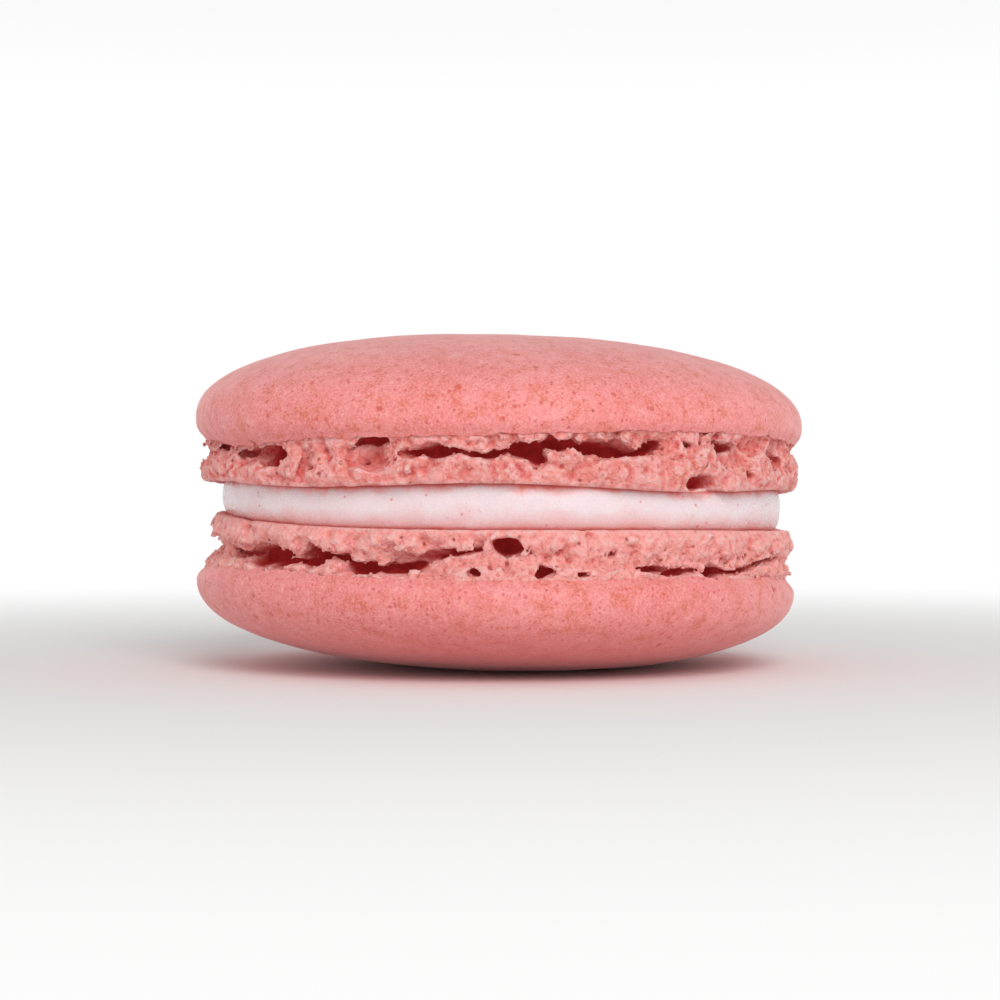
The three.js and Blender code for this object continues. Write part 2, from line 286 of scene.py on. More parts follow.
def new_tree(name, sizes):
    """A geometry tree that takes a geometry, a material and each named size, and gives a geometry."""
    tree = bpy.data.node_groups.new(name, "GeometryNodeTree")
    tree.interface.new_socket("Geometry", in_out="INPUT", socket_type="NodeSocketGeometry")
    tree.interface.new_socket("Material", in_out="INPUT", socket_type="NodeSocketMaterial")
    for label in sizes:
        tree.interface.new_socket(label, in_out="INPUT", socket_type="NodeSocketFloat")
    tree.interface.new_socket("Geometry", in_out="OUTPUT", socket_type="NodeSocketGeometry")
    return tree


def grow(mesh, tree, material, sizes):
    """Runs a tree on a mesh with this material and these sizes, and returns the plain mesh it makes."""
    obj = bpy.data.objects.new(tree.name, mesh)
    bpy.context.scene.collection.objects.link(obj)
    modifier = obj.modifiers.new(tree.name, "NODES")
    modifier.node_group = tree
    inputs = {i.name: i.identifier for i in tree.interface.items_tree if i.in_out == "INPUT"}
    modifier[inputs["Material"]] = material
    for label, value in sizes.items():
        modifier[inputs[label]] = float(value)
    grown = bpy.data.meshes.new_from_object(obj.evaluated_get(bpy.context.evaluated_depsgraph_get()))
    obj.modifiers.remove(modifier)
    bpy.data.objects.remove(obj)
    return grown


def linear(hex_colour):
    """An sRGB hex colour as linear red, green, blue and alpha."""
    channels = [int(hex_colour[i:i + 2], 16) / 255 for i in (1, 3, 5)]
    return (*(c / 12.92 if c <= 0.04045 else ((c + 0.055) / 1.055) ** 2.4 for c in channels), 1.0)


def per_mm(size):
    """The texture scale at which a pattern measures this many millimetres, in the frame's metres."""
    return 1 / (size * MM)


# ---------- materials ----------
def new_material(name):
    """An empty material, and the function that adds a node to it."""
    material = bpy.data.materials.new(name)
    material.use_nodes = True
    material.node_tree.nodes.clear()
    return material, partial(add, material.node_tree)


def tinted(n, base, *layers):
    """Lays colours over a base. Each comes in, up to its strength, as its pattern goes from start to end."""
    for pattern, start, end, strength, colour in layers:
        share = n("ShaderNodeMapRange", pattern, start, end, 0.0, strength)
        base = n("ShaderNodeMix", share, base, linear(colour), data_type="RGBA")
    return base


def dots(n, place, spacing, rarity, largest):
    """How far inside a round dot each place is. Dots have chance sizes, and a share, rarity, is missing."""
    cell = n("ShaderNodeTexVoronoi", place, per_mm(spacing))
    chance = n("ShaderNodeSeparateColor", cell.outputs["Color"])
    radius = n("ShaderNodeMapRange", chance, rarity, 1.0, 0.0, largest)
    return n("ShaderNodeMath", radius, cell, operation="SUBTRACT")


def meringue_skin():
    """Almond meringue that dried to a skin: dyed egg white and sugar, matt, with specks of ground almond.

    It gives the eye a fine flat grain, orange-brown patches and red specks, a dusty bloom where it is seen
    edge-on, painted shade that darkens the lower shell's crown towards the table, and painted shade in the
    pits of burst bubbles.
    """
    material, n = new_material("almond_meringue_skin")
    place = n("ShaderNodeTexCoord").outputs["Object"]
    height = n("ShaderNodeSeparateXYZ", place).outputs[2]
    drift = n("ShaderNodeTexNoise", place, per_mm(7), 3.0)
    mottle = n("ShaderNodeTexNoise", place, per_mm(1.1), 3.0, 0.7)
    grain = n("ShaderNodeTexNoise", place, per_mm(0.17), 3.0, 0.7)
    base = tinted(
        n, linear("#e68381"),
        (drift, 0.3, 0.7, 1.0, "#ed918e"),
        (mottle, 0.51, 0.7, 0.9, "#d97058"),
        (mottle, 0.46, 0.28, 0.6, "#f3a5a3"),
        (grain, 0.48, 0.7, 0.5, "#fbc0bb"),
        (grain, 0.48, 0.28, 0.5, "#cd6264"))

    # Brown almond specks and finer red ones, drawn out of round, painted shade on the lower shell's crown,
    # darker towards the table, and painted shade in the burst bubbles' pits.
    wander = n("ShaderNodeTexNoise", place, per_mm(0.4), 2.0, 0.6).outputs["Color"]
    speck_place = n("ShaderNodeVectorMath", wander, (0.25 * MM,) * 3, place, operation="MULTIPLY_ADD")
    pit = n("ShaderNodeAttribute", attribute_name="pit").outputs["Fac"]
    base = tinted(
        n, base,
        (dots(n, speck_place, 1.3, 0.45, 0.2), -0.03, 0.06, 0.7, "#cb5640"),
        (dots(n, speck_place, 0.36, 0.45, 0.4), -0.03, 0.06, 0.5, "#c8433f"),
        # Painted shade: the lower shell's crown darker towards the table.
        (height, 4.5 * MM, 0.0, 0.85, "#d64545"),
        # Painted shade in the pits where bubbles burst.
        (pit, 0.1, 0.7, 0.95, "#9a1f1a"))
    rough = n("ShaderNodeMapRange", mottle, 0.3, 0.7, 0.6, 0.76)
    relief = n("ShaderNodeMath", grain, n("ShaderNodeMath", mottle, 1.6, operation="MULTIPLY"))
    bump = n("ShaderNodeBump", {"Strength": 0.3, "Distance": 0.06 * MM, "Height": relief})
    shader = n("ShaderNodeBsdfPrincipled", {
        "Base Color": base, "Roughness": rough, "Normal": bump, "Specular IOR Level": 0.3,
        "Subsurface Weight": 0.3, "Subsurface Radius": (1.0, 0.4, 0.35), "Subsurface Scale": 0.25 * MM,
        "Sheen Weight": 0.4, "Sheen Roughness": 0.45, "Sheen Tint": linear("#f7dcdc")})
    n("ShaderNodeOutputMaterial", {"Surface": shader})
    return material


def meringue_crumb():
    """Torn almond meringue: a dry froth of dyed egg white with bits of ground almond.

    It gives the eye a matt, grainy surface with painted light on its crests, painted shade, saturated red,
    in its hollows, pores and gaps, and a faint red painted glow deep inside its gaps. The lower foot is
    painted paler, as painted light.
    """
    material, n = new_material("almond_meringue_crumb")
    place = n("ShaderNodeTexCoord").outputs["Object"]
    height = n("ShaderNodeSeparateXYZ", place).outputs[2]
    hollow = n("ShaderNodeAttribute", attribute_name="hollow").outputs["Fac"]
    depth = n("ShaderNodeAttribute", attribute_name="depth").outputs["Fac"]
    patch = n("ShaderNodeTexNoise", place, per_mm(1.6), 3.0, 0.6)
    wander = n("ShaderNodeTexNoise", place, per_mm(0.5), 2.0, 0.6).outputs["Color"]
    froth_place = n("ShaderNodeVectorMath", wander, (0.4 * MM,) * 3, place, operation="MULTIPLY_ADD")
    froth = n("ShaderNodeTexVoronoi", froth_place, per_mm(0.36))
    grain = n("ShaderNodeTexNoise", place, per_mm(0.16), 2.0, 0.65)
    rough_grain = n("ShaderNodeMath", froth, -0.8, grain, operation="MULTIPLY_ADD")
    bubble = dots(n, froth_place, 0.8, 0.45, 0.2)
    hole = n("ShaderNodeMapRange", bubble, -0.05, 0.08)
    deep = n("ShaderNodeMapRange", depth, 0.5, 1.6)

    # The tone runs from the crests, below zero, to the hollows, and paints light on the crests and shade in
    # the hollows. The lower foot is painted paler, as painted light.
    tone = n("ShaderNodeMath", n("ShaderNodeMath", rough_grain, 0.17, operation="SUBTRACT"), -0.2, hollow,
             operation="MULTIPLY_ADD")
    # Painted light: the lower foot is made paler, on its crests and on its slopes.
    crest = tinted(
        n, linear("#f5aaa5"),
        (patch, 0.4, 0.66, 1.0, "#ee968b"),
        (height, 13 * MM, 10 * MM, 0.8, "#ffb2ab"))
    slope = tinted(n, linear("#e67771"), (height, 13 * MM, 10 * MM, 0.8, "#f39a94"))
    base = n("ShaderNodeMix", n("ShaderNodeMapRange", tone, -0.02, 0.11), crest, slope, data_type="RGBA")
    base = tinted(
        n, base,
        # Painted shade in the hollows, and a painted highlight on the crests.
        (tone, 0.1, 0.24, 0.8, "#c8453f"),
        (tone, -0.03, -0.12, 0.7, "#f7cbc6"),
        # Painted shade in the tiny pores.
        (hole, 0.0, 1.0, 0.75, "#a8332e"),
        # Painted shade deep in the gaps.
        (deep, 0.0, 1.0, 1.0, "#941613"))
    # Painted glow: deep in the gaps the crumb gives off a faint red light of its own, in patches.
    painted_glow_patch = n("ShaderNodeMapRange", patch, 0.35, 0.65, 0.4, 0.75)
    glow = n("ShaderNodeMath", painted_glow_patch, deep, operation="MULTIPLY")
    relief = n("ShaderNodeMath", hole, -0.6, rough_grain, operation="MULTIPLY_ADD")
    bump = n("ShaderNodeBump", {"Strength": 0.9, "Distance": 0.2 * MM, "Height": relief})
    rough = n("ShaderNodeMapRange", grain, 0.35, 0.65, 0.7, 0.9)
    shader = n("ShaderNodeBsdfPrincipled", {
        "Base Color": base, "Roughness": rough, "Normal": bump, "Specular IOR Level": 0.25,
        "Subsurface Weight": 0.35, "Subsurface Radius": (1.0, 0.3, 0.27), "Subsurface Scale": 0.4 * MM,
        "Emission Color": linear("#74191a"), "Emission Strength": glow})
    n("ShaderNodeOutputMaterial", {"Surface": shader})
    return material


def whipped_cream():
    """Whipped cream, fatty and full of fine air.

    It gives the eye a soft shine and a clouded, nearly white band, with painted pink light and painted shadow
    along both shells, painted shade in its pits, and a few pink crumbs on it.
    """
    material, n = new_material("whipped_cream")
    place = n("ShaderNodeTexCoord").outputs["Object"]
    level = n("ShaderNodeAttribute", attribute_name="level").outputs["Fac"]
    pit = n("ShaderNodeAttribute", attribute_name="pit").outputs["Fac"]
    cloud = n("ShaderNodeTexNoise", place, per_mm(2.2), 3.0, 0.6)
    clouded = n("ShaderNodeMath", n("ShaderNodeMath", cloud, 0.5, operation="SUBTRACT"), 0.6, level,
                operation="MULTIPLY_ADD")
    # Painted pink light from the shells, and painted shade, towards the bottom and the top, clouded; nearly
    # white between.
    base = tinted(
        n, linear("#e9b2b0"),
        (clouded, 0.06, 0.5, 1.0, "#ebdadd"),
        (clouded, 0.78, 0.95, 1.0, "#f0a5a0"))
    # Painted shadow, pink, along both shells where the cream meets them, in a clouded band and an even one.
    for height, start in ((clouded, 0.42), (level, 0.36)):
        from_middle = n("ShaderNodeMath", height, 0.5, operation="SUBTRACT")
        from_middle = n("ShaderNodeMath", from_middle, operation="ABSOLUTE")
        base = tinted(n, base, (from_middle, start, start + 0.07, 0.85, "#e27a74"))
    base = tinted(
        n, base,
        # Painted shade in the pits.
        (pit, 0.1, 0.9, 0.35, "#dc9c9a"),
        (dots(n, place, 0.8, 0.3, 0.19), -0.02, 0.05, 0.7, "#d77f80"))
    froth = n("ShaderNodeTexVoronoi", place, per_mm(0.3))
    grit = n("ShaderNodeTexNoise", place, per_mm(0.14), 2.0, 0.7)
    smear = n("ShaderNodeTexNoise", place, per_mm(0.7), 3.0, 0.6)
    relief = n("ShaderNodeMath", n("ShaderNodeMapRange", froth, 0.05, 0.35, 0.0, 0.6),
               n("ShaderNodeMath", smear, 0.5, operation="MULTIPLY"))
    relief = n("ShaderNodeMath", relief, grit)
    bump = n("ShaderNodeBump", {"Strength": 0.4, "Distance": 0.09 * MM, "Height": relief})
    rough = n("ShaderNodeMapRange", grit, 0.42, 0.68, 0.3, 0.1)
    shader = n("ShaderNodeBsdfPrincipled", {
        "Base Color": base, "Roughness": rough, "Normal": bump, "Specular IOR Level": 0.5,
        "Subsurface Weight": 0.8, "Subsurface Radius": (1.0, 0.6, 0.55), "Subsurface Scale": 1.2 * MM})
    n("ShaderNodeOutputMaterial", {"Surface": shader})
    return material


def pale_table(reach):
    """Matt white paper, which turns to plain light between the two distances of its reach.

    It gives the eye a faint fibre under the macaron, and no edge where the table runs into the pale studio.
    """
    material, n = new_material("white_paper")
    place = n("ShaderNodeTexCoord").outputs["Object"]
    fibre = n("ShaderNodeTexNoise", place, per_mm(0.5), 3.0)
    paper = n("ShaderNodeMix", fibre, linear("#f3f2f1"), linear("#f8f7f6"), data_type="RGBA")
    bump = n("ShaderNodeBump", {"Strength": 0.1, "Distance": 0.03 * MM, "Height": fibre})
    shader = n("ShaderNodeBsdfPrincipled", {
        "Base Color": paper, "Roughness": 0.85, "Normal": bump, "Specular IOR Level": 0.1})
    glow = n("ShaderNodeEmission", linear("#ffffff"), 1.0)
    away = n("ShaderNodeVectorMath", place, operation="LENGTH").outputs["Value"]
    share = n("ShaderNodeMapRange", away, *reach, interpolation_type="SMOOTHSTEP")
    n("ShaderNodeOutputMaterial", {"Surface": n("ShaderNodeMixShader", share, shader, glow)})
    return material


# ---------- the foot's crumb ----------
CRUMB = {
    "Inner radius": 16.8,
    "Lump size": 2.3,
    "Lump relief": 0.6,
    "Knob size": 1.05,
    "Knob relief": 0.42,
    "Grain size": 0.5,
    "Grain relief": 0.16,
    "Gap raggedness": 0.32,
    "Pore spacing": 1.1,
    "Pore radius": 0.3,
    "Voxel": CRUMB_VOXEL,
}
ABOVE_SKIN_EDGE = 0.7  # how far the crumb rises inside the skin

# How far places are pushed about, so that no edge comes out regular: two patterns, and the reach of each.
BROAD_PUSH_SIZE = 1.9
BROAD_PUSH = (1.4, 1.4, 0.8)
FINE_PUSH_SIZE = 0.6
FINE_PUSH = 0.36
LUMP_PUSH = 0.4

# The foot's profile: it draws in below a height, and its waist is this wide up and down from its middle.
DRAWN_IN_BELOW = 0.9
FOOT_DRAW_IN = 0.15
WAIST_SPREAD = 0.65

# The relief: an uneven ground, and a swelling in each cell. It is calmer near the underside.
GROUND_SIZE = 1.3
GROUND_RELIEF = 0.7
GROUND_SINK = -0.2
SWELLING_TOP = 0.54
SWELLING_FALL = -2.0
CALM = (0.0, 0.7, 0.35, 1.0)

# How soft edges are. A gap's edge goes from 0.2 at 0.3 under the skin's edge to 0.4 at 1.3 under it.
GAP_SOFTNESS = (0.3, 1.3, 0.2, 0.4)
PORE_SOFTNESS = 0.12
UNDERSIDE_SOFTNESS = 0.1
CREASES = (0.0, -0.6)  # from no crease to a full one, by how low the relief is
RIM_NOTCHES = (1.6, 0.8, 0.0, 0.16)  # creases notch the underside, from 1.6 inside the profile outwards

# The block of voxels that the crumb is cut from, and how much its flat places are simplified.
BLOCK_HALF_WIDTH = 23.2
BLOCK_BOTTOM = -0.45
BLOCK_TOP = 4.75
SIMPLIFIED = 0.065

BEYOND_ALL_GAPS = 100.0
HOLLOW_ROUNDS = 7  # of smoothing, to see how hollow a place is
WEAR_ROUNDS = 3  # of smoothing, for the wear
WEAR = (-0.05, -0.18, 0.16, 1.0)  # from ordinary crumb to the thinnest flakes


def foot_sizes(shell):
    """The inputs of the crumb tree for one shell."""
    return {
        **CRUMB, **shell["waist"], "Foot radius": shell["foot_radius"], "Foot shift": shell["foot_shift"],
        "Skin edge": shell["skin_edge"], "Top": shell["skin_edge"] + ABOVE_SKIN_EDGE, "Seed": shell["seed"]}


def crumb_tree():
    """The foot as a solid field, positive inside, that is filled with voxels and made a surface.

    The geometry that goes in is one vertex for each gap, which carries the gap's half sizes and direction.
    """
    tree = new_tree("Foot crumb", foot_sizes(UPPER))
    n = partial(add, tree)
    given = n("NodeGroupInput").outputs
    position = n("GeometryNodeInputPosition").outputs[0]
    height = n("ShaderNodeSeparateXYZ", position).outputs[2]
    place = n("ShaderNodeVectorMath", position, given["Seed"])
    broad = n("ShaderNodeTexNoise", place, 1 / BROAD_PUSH_SIZE, 1.0).outputs["Color"]
    fine = n("ShaderNodeTexNoise", place, 1 / FINE_PUSH_SIZE, 2.0).outputs["Color"]
    back = tuple(-reach / 2 for reach in BROAD_PUSH)
    broad_push = n("ShaderNodeVectorMath", broad, BROAD_PUSH, back, operation="MULTIPLY_ADD")
    push = n("ShaderNodeVectorMath", fine, (FINE_PUSH,) * 3, broad_push, operation="MULTIPLY_ADD")
    pushed = n("ShaderNodeVectorMath", position, push)
    pushed = n("ShaderNodeVectorMath", pushed, (FINE_PUSH / 2,) * 3, operation="SUBTRACT")
    lump_place = n("ShaderNodeVectorMath", push, (LUMP_PUSH,) * 3, place, operation="MULTIPLY_ADD")

    # How far each point is outside the nearest gap. A gap is an oval pocket, and the distance is near enough.
    start = n("GeometryNodeRepeatInput")
    finish = n("GeometryNodeRepeatOutput")
    start.pair_with_output(finish)
    finish.repeat_items.clear()
    finish.repeat_items.new("FLOAT", "Nearest")
    count = n("GeometryNodeAttributeDomainSize", given["Geometry"])
    tree.links.new(count.outputs["Point Count"], start.inputs["Iterations"])
    start.inputs["Nearest"].default_value = BEYOND_ALL_GAPS
    size_field = n("GeometryNodeInputNamedAttribute", "size", data_type="FLOAT_VECTOR")
    facing_field = n("GeometryNodeInputNamedAttribute", "facing", data_type="FLOAT_VECTOR")
    middle, sizes, facing = (
        n("GeometryNodeSampleIndex", given["Geometry"], field, start.outputs["Iteration"],
          data_type="FLOAT_VECTOR")
        for field in (position, size_field, facing_field))
    pocket = n("FunctionNodeCombineTransform", middle, n("FunctionNodeEulerToRotation", facing), sizes)
    inside_pocket = n("FunctionNodeTransformPoint", pushed, n("FunctionNodeInvertMatrix", pocket))
    reach = n("ShaderNodeVectorMath", inside_pocket, operation="LENGTH").outputs["Value"]
    steepness = n("ShaderNodeVectorMath", inside_pocket, sizes, operation="DIVIDE")
    steepness = n("ShaderNodeVectorMath", steepness, operation="LENGTH").outputs["Value"]
    away = n("ShaderNodeMath", n("ShaderNodeMath", reach, 1.0, operation="SUBTRACT"),
             n("ShaderNodeMath", reach, steepness, operation="DIVIDE"), operation="MULTIPLY")
    nearest = n("ShaderNodeMath", start.outputs["Nearest"], away, operation="MINIMUM")
    tree.links.new(nearest.outputs[0], finish.inputs["Nearest"])

    # The foot's profile draws in at its underside, and has a waist under the skin's edge. To the right the
    # waist gets deeper by its lean and higher by its climb.
    axis = n("ShaderNodeCombineXYZ", given["Foot shift"], 0.0, height)
    from_axis = n("ShaderNodeVectorMath", position, axis, operation="SUBTRACT")
    distance = n("ShaderNodeVectorMath", from_axis, operation="LENGTH").outputs["Value"]
    right = n("ShaderNodeMath", n("ShaderNodeSeparateXYZ", from_axis), distance, operation="DIVIDE")
    below = n("ShaderNodeMapRange", height, 0.0, DRAWN_IN_BELOW, 1.0, 0.0)
    profile = n("ShaderNodeMath", n("ShaderNodeMath", below, below, operation="MULTIPLY"), -FOOT_DRAW_IN,
                given["Foot radius"], operation="MULTIPLY_ADD")
    waist_height = n("ShaderNodeMath", given["Waist climb"], right, given["Waist height"],
                     operation="MULTIPLY_ADD")
    waist_depth = n("ShaderNodeMath", given["Waist lean"], right, given["Waist depth"],
                    operation="MULTIPLY_ADD")
    from_waist = n("ShaderNodeMath", height, waist_height, operation="SUBTRACT")
    waist_share = n("ShaderNodeMath", from_waist, WAIST_SPREAD, operation="DIVIDE")
    waist_fall = n("ShaderNodeMath", waist_share, waist_share, operation="MULTIPLY")
    waist_fall = n("ShaderNodeMath", waist_fall, -1.0, operation="MULTIPLY")
    waist_fall = n("ShaderNodeMath", waist_fall, operation="EXPONENT")
    waist = n("ShaderNodeMath", waist_fall, waist_depth, operation="MULTIPLY")
    profile = n("ShaderNodeMath", profile, waist, operation="SUBTRACT")
    depth = n("ShaderNodeMath", profile, distance, operation="SUBTRACT")

    # Lumps, knobs and grains are rounded swellings with creases between them, one in each cell.
    ground = n("ShaderNodeTexNoise", place, 1 / GROUND_SIZE, 3.0)
    swell = n("ShaderNodeMath", ground, GROUND_RELIEF, GROUND_SINK, operation="MULTIPLY_ADD")
    for kind in ("Lump", "Knob", "Grain"):
        scale = n("ShaderNodeMath", 1.0, given[kind + " size"], operation="DIVIDE")
        cell = n("ShaderNodeTexVoronoi", lump_place, scale, 0.0)
        fall = n("ShaderNodeMath", cell, cell, operation="MULTIPLY")
        swelling = n("ShaderNodeMath", fall, SWELLING_FALL, SWELLING_TOP, operation="MULTIPLY_ADD")
        swell = n("ShaderNodeMath", swelling, given[kind + " relief"], swell, operation="MULTIPLY_ADD")
    calm = n("ShaderNodeMapRange", height, *CALM)
    outside = n("ShaderNodeMath", swell, calm, profile, operation="MULTIPLY_ADD")
    body = n("ShaderNodeMath", outside, distance, operation="SUBTRACT")

    # The gaps are rounded into it, with the lumps hanging over their edges, and are sharper near the skin.
    clear_of_gaps = n("ShaderNodeMath", swell, given["Gap raggedness"], finish.outputs["Nearest"],
                      operation="MULTIPLY_ADD")
    under_skin = n("ShaderNodeMath", given["Skin edge"], height, operation="SUBTRACT")
    solid = n("ShaderNodeMath", body, clear_of_gaps, n("ShaderNodeMapRange", under_skin, *GAP_SOFTNESS),
              operation="SMOOTH_MIN")

    # Pores of chance sizes, the inner wall, the notched underside and the top.
    scale = n("ShaderNodeMath", 1.0, given["Pore spacing"], operation="DIVIDE")
    pore = n("ShaderNodeTexVoronoi", place, scale, 0.0)
    chance = n("ShaderNodeSeparateXYZ", pore.outputs["Color"])
    pore_radius = n("ShaderNodeMath", chance, given["Pore radius"], operation="MULTIPLY")
    from_pore = n("ShaderNodeMath", pore, given["Pore spacing"], operation="MULTIPLY")
    clear_of_pores = n("ShaderNodeMath", from_pore, pore_radius, operation="SUBTRACT")
    solid = n("ShaderNodeMath", solid, clear_of_pores, PORE_SOFTNESS, operation="SMOOTH_MIN")
    from_inside = n("ShaderNodeMath", distance, given["Inner radius"], operation="SUBTRACT")
    solid = n("ShaderNodeMath", solid, from_inside, operation="MINIMUM")
    notches = n("ShaderNodeMath", n("ShaderNodeMapRange", swell, *CREASES),
                n("ShaderNodeMapRange", depth, *RIM_NOTCHES), operation="MULTIPLY")
    from_underside = n("ShaderNodeMath", height, notches, operation="SUBTRACT")
    solid = n("ShaderNodeMath", solid, from_underside, UNDERSIDE_SOFTNESS, operation="SMOOTH_MIN")
    from_top = n("ShaderNodeMath", given["Top"], height, operation="SUBTRACT")
    solid = n("ShaderNodeMath", solid, from_top, operation="MINIMUM")

    across = n("ShaderNodeMath", 2 * BLOCK_HALF_WIDTH, given["Voxel"], operation="DIVIDE")
    upward = n("ShaderNodeMath", BLOCK_TOP - BLOCK_BOTTOM, given["Voxel"], operation="DIVIDE")
    volume = n("GeometryNodeVolumeCube", solid, -1.0, (-BLOCK_HALF_WIDTH, -BLOCK_HALF_WIDTH, BLOCK_BOTTOM),
               (BLOCK_HALF_WIDTH, BLOCK_HALF_WIDTH, BLOCK_TOP), across, across, upward)
    surface = n("GeometryNodeVolumeToMesh", volume, {"Threshold": 0.0, "Adaptivity": SIMPLIFIED})

    # Scraps that hang free, and bubbles that are sealed in, are taken away.
    island = n("GeometryNodeInputMeshIsland")
    size = n("GeometryNodeAccumulateField", 1.0, island)
    largest = n("GeometryNodeAttributeStatistic", surface, None, size.outputs["Total"])
    scrap = n("FunctionNodeCompare", size.outputs["Total"], largest.outputs["Max"], operation="LESS_THAN")
    whole = n("GeometryNodeDeleteGeometry", surface, scrap)

    # What the colour's painted shade and light need: how deep in the foot each place is, and how hollow.
    marked = n("GeometryNodeStoreNamedAttribute", whole, None, "depth", depth)
    blurred = n("GeometryNodeBlurAttribute", position, HOLLOW_ROUNDS, data_type="FLOAT_VECTOR")
    moved = n("ShaderNodeVectorMath", blurred, position, operation="SUBTRACT")
    hollow = n("ShaderNodeVectorMath", moved, n("GeometryNodeInputNormal"), operation="DOT_PRODUCT")
    marked = n("GeometryNodeStoreNamedAttribute", marked, None, "hollow", hollow.outputs["Value"])

    # Crumb is brittle, so its thinnest flakes are worn back much more than the rest.
    stored = n("GeometryNodeInputNamedAttribute", "hollow", data_type="FLOAT")
    worn = n("GeometryNodeBlurAttribute", position, WEAR_ROUNDS, n("ShaderNodeMapRange", stored, *WEAR),
             data_type="FLOAT_VECTOR")
    worn = n("GeometryNodeSetShadeSmooth", n("GeometryNodeSetPosition", marked, None, worn))
    n("NodeGroupOutput", n("GeometryNodeSetMaterial", worn, None, given["Material"]))
    return tree


# A gap's middle lies this share of its depth inside the foot, and one over 2.2 deep counts as 2.2. Its mouth
# is smaller than its middle, so its half sizes are over half of those listed. It always breaks the surface.
GAP_MIDDLE = 0.35
DEEPEST_MIDDLE = 2.2
GAP_REACH = 1.3
GAP_HALF_LENGTH = 0.54
GAP_HALF_HEIGHT = 0.56
THINNEST_GAP = 0.42


def gap_points(shell):
    """A mesh with a vertex in the middle of each gap, which carries the gap's half sizes and direction."""
    middles, sizes, facings = [], [], []
    growth = np.array(shell["gap_growth"])
    for azimuth, rise, length, tall, depth, slant in all_gaps(shell):
        azimuth = math.radians(azimuth)
        low = stretched(shell, azimuth, 0)
        stretch = (skin_edge_at(shell, azimuth) - low) / shell["skin_edge"]
        length, depth, tall = growth * (length, depth, max(tall, THINNEST_GAP))
        inset = GAP_MIDDLE * min(depth, DEEPEST_MIDDLE)
        radius = shell["foot_radius"] - inset
        middles.append((shell["foot_shift"] + radius * math.sin(azimuth), -radius * math.cos(azimuth),
                        (rise - low) / stretch))
        sizes.append((GAP_HALF_LENGTH * length, max(depth - inset, GAP_REACH * inset),
                      GAP_HALF_HEIGHT * tall / stretch))
        facings.append((0, math.radians(slant), azimuth))
    mesh = bpy.data.meshes.new(shell["name"] + "_gaps")
    mesh.from_pydata(middles, [], [])
    for name, values in (("size", sizes), ("facing", facings)):
        mesh.attributes.new(name, "FLOAT_VECTOR", "POINT").data.foreach_set("vector", np.ravel(values))
    return mesh


def points_of(mesh):
    points = np.empty(len(mesh.vertices) * 3)
    mesh.vertices.foreach_get("co", points)
    return points.reshape(-1, 3)


FLARE_FROM = 1.6  # the height from which the foot widens to meet the skin
# How far inside the skin the crumb is held, by height from the skin's edge. Under it, crumb may stand out.
HOLD_HEIGHTS = (-0.9, -0.35, -0.05, 0.1, 0.4)
HOLD_INSETS = (-0.8, -0.05, 0.04, 0.12, 0.7)
HOLD_SOFTNESS = 0.06


def fit_to_skin(shell, mesh):
    """Stretches an even foot to meet the wavy edge of the skin, and holds it inside the skin from there."""
    x, y, rise = points_of(mesh).T
    height = stretched(shell, np.arctan2(x - shell["foot_shift"], -y), rise)
    radius = np.hypot(x - shell["dome_shift"], y)
    around = np.arctan2(x - shell["dome_shift"], -y)
    edge = shell["skin_edge"]
    at_skin = dome_radius_at(shell, around, np.maximum(height, skin_edge_at(shell, around)))
    foot_reach = shell["foot_radius"] + (shell["foot_shift"] - shell["dome_shift"]) * np.sin(around)
    share = np.clip((rise - FLARE_FROM) / (edge - FLARE_FROM), 0, 1)
    flared = radius + (at_skin - foot_reach) * share**2 * (3 - 2 * share)
    held = at_skin - np.interp(rise - edge, HOLD_HEIGHTS, HOLD_INSETS)
    # The smaller of the two, softened where they meet.
    kept = -HOLD_SOFTNESS * np.logaddexp(-flared / HOLD_SOFTNESS, -held / HOLD_SOFTNESS)
    x = shell["dome_shift"] + (x - shell["dome_shift"]) * kept / radius
    y = y * kept / radius
    mesh.vertices.foreach_set("co", np.stack([x, y, height], -1).ravel())
    mesh.update()


# Loose crumbs lie on the outside of the foot, no lower and no deeper than this.
CRUMBS = {"Spacing": 0.45, "Density": 5, "Lowest": 1.2, "Deepest": 0.7, "Smallest": 0.06, "Largest": 0.18}
LOOSE_ROUGHNESS = 0.9
# How hollow the loose crumbs count, for the crumb's painted light and shade: about like the body.
LOOSE_HOLLOW = 0.02


